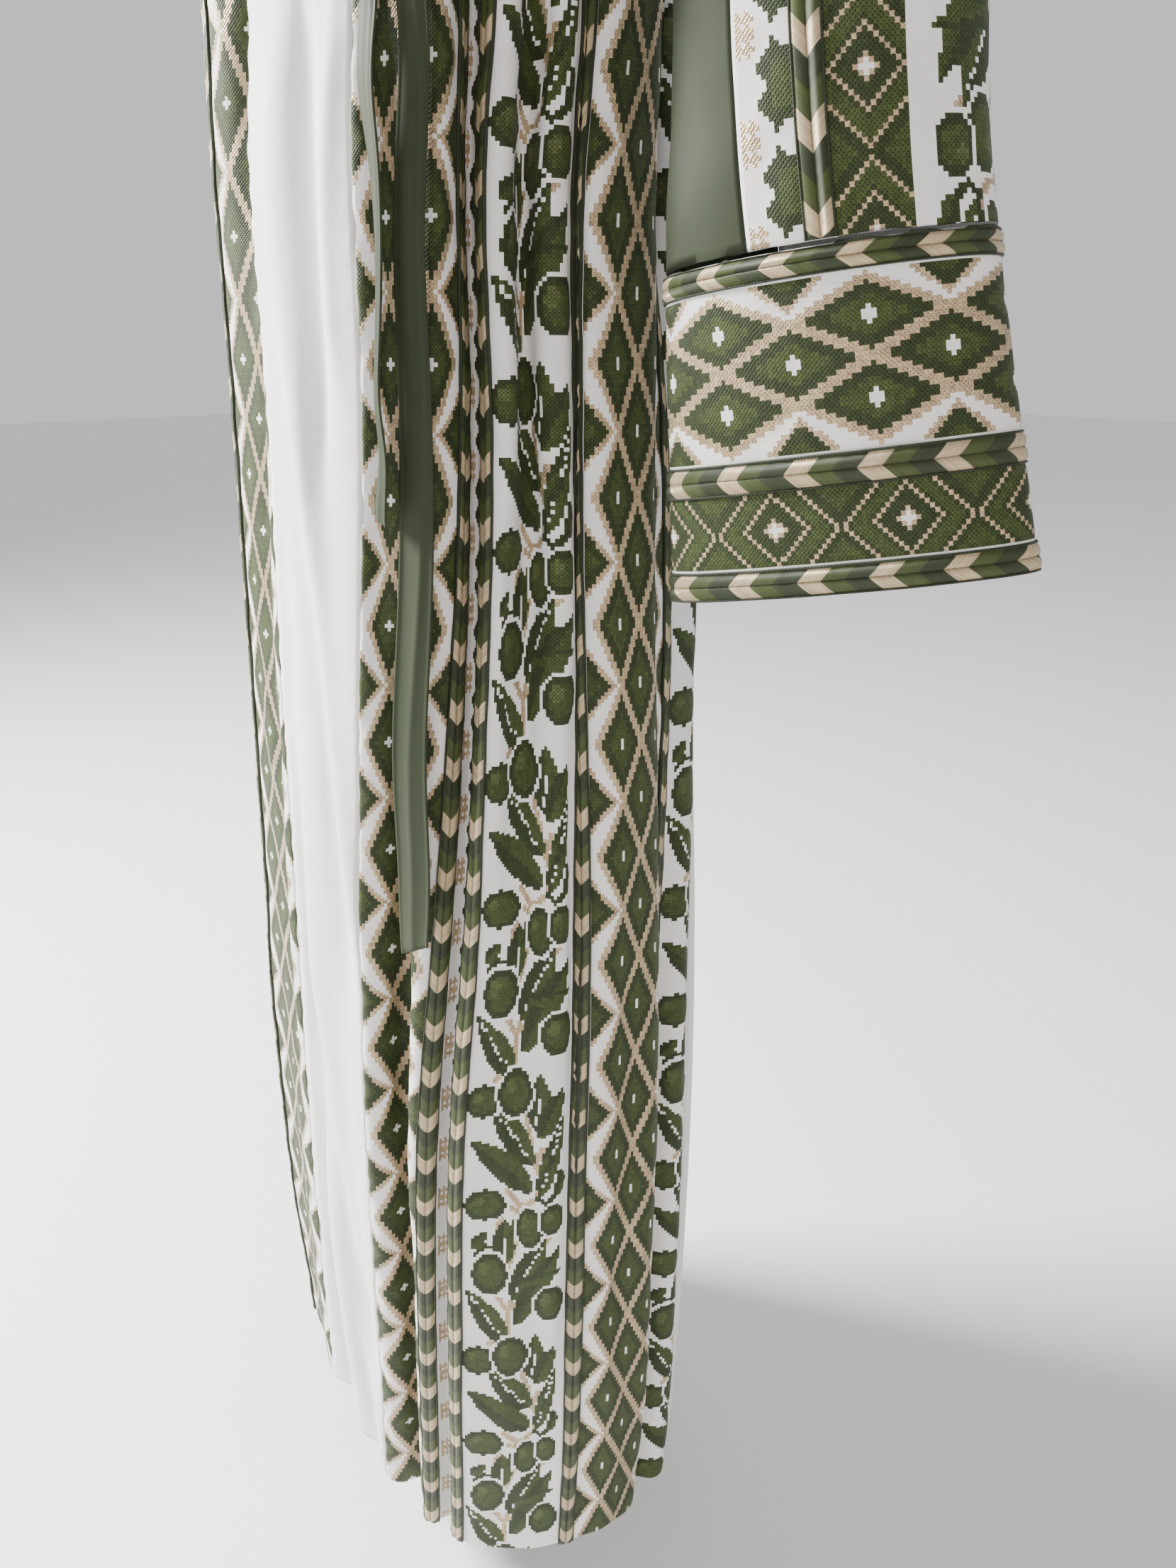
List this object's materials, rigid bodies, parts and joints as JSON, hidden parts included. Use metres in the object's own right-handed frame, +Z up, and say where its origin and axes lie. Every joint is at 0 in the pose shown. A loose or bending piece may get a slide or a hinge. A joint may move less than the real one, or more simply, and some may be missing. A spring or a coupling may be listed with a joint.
{
  "type": "worn palestinian thobe dress with a tied satin belt",
  "caption": "Long hollow embroidered thobe with wide cuffed sleeves, raised braids and a tied satin belt with hanging ends, in its worn form.",
  "frame": {"origin": "the middle of the base of the neck, at the height of the shoulder seams, where the wearer's shoulders hold the dress up", "axes": "+Z up along the standing wearer; the wearer faces -Y and their left is +X"},
  "size_m": [0.8602, 0.4044, 1.5662],
  "materials": {
    "embroidered_crepe": "matt off-white crepe with green and champagne cross-stitch",
    "sage_satin": "soft sage-green satin with a low sheen",
    "green_gold_braid": "slanted satin stitch in dark green, mid green and champagne between two cords"
  },
  "bodies": {
    "root": {"back_panel": "embroidered_crepe", "belt": "sage_satin", "belt_knot": "sage_satin", "belt_tail_long": "sage_satin", "belt_tail_short": "sage_satin", "body_braid_a_left": "green_gold_braid", "body_braid_a_right": "green_gold_braid", "body_braid_b_left": "green_gold_braid", "body_braid_b_right": "green_gold_braid", "body_braid_c_left": "green_gold_braid", "body_braid_c_right": "green_gold_braid", "body_braid_d_left": "green_gold_braid", "body_braid_d_right": "green_gold_braid", "cuff_braid_edge_left": "green_gold_braid", "cuff_braid_edge_right": "green_gold_braid", "cuff_braid_middle_left": "green_gold_braid", "cuff_braid_middle_right": "green_gold_braid", "cuff_braid_top_left": "green_gold_braid", "cuff_braid_top_right": "green_gold_braid", "cuff_left": "embroidered_crepe", "cuff_right": "embroidered_crepe", "front_centre_panel": "embroidered_crepe", "front_panel_left": "embroidered_crepe", "front_panel_right": "embroidered_crepe", "neck_band": "sage_satin", "side_back_panel_left": "embroidered_crepe", "side_back_panel_right": "embroidered_crepe", "side_front_panel_left": "embroidered_crepe", "side_front_panel_right": "embroidered_crepe", "sleeve_braid_back_left": "green_gold_braid", "sleeve_braid_back_right": "green_gold_braid", "sleeve_braid_front_left": "green_gold_braid", "sleeve_braid_front_right": "green_gold_braid", "sleeve_left": "embroidered_crepe", "sleeve_right": "embroidered_crepe", "sleeve_satin_left": "sage_satin", "sleeve_satin_right": "sage_satin"}
  },
  "joints": []
}
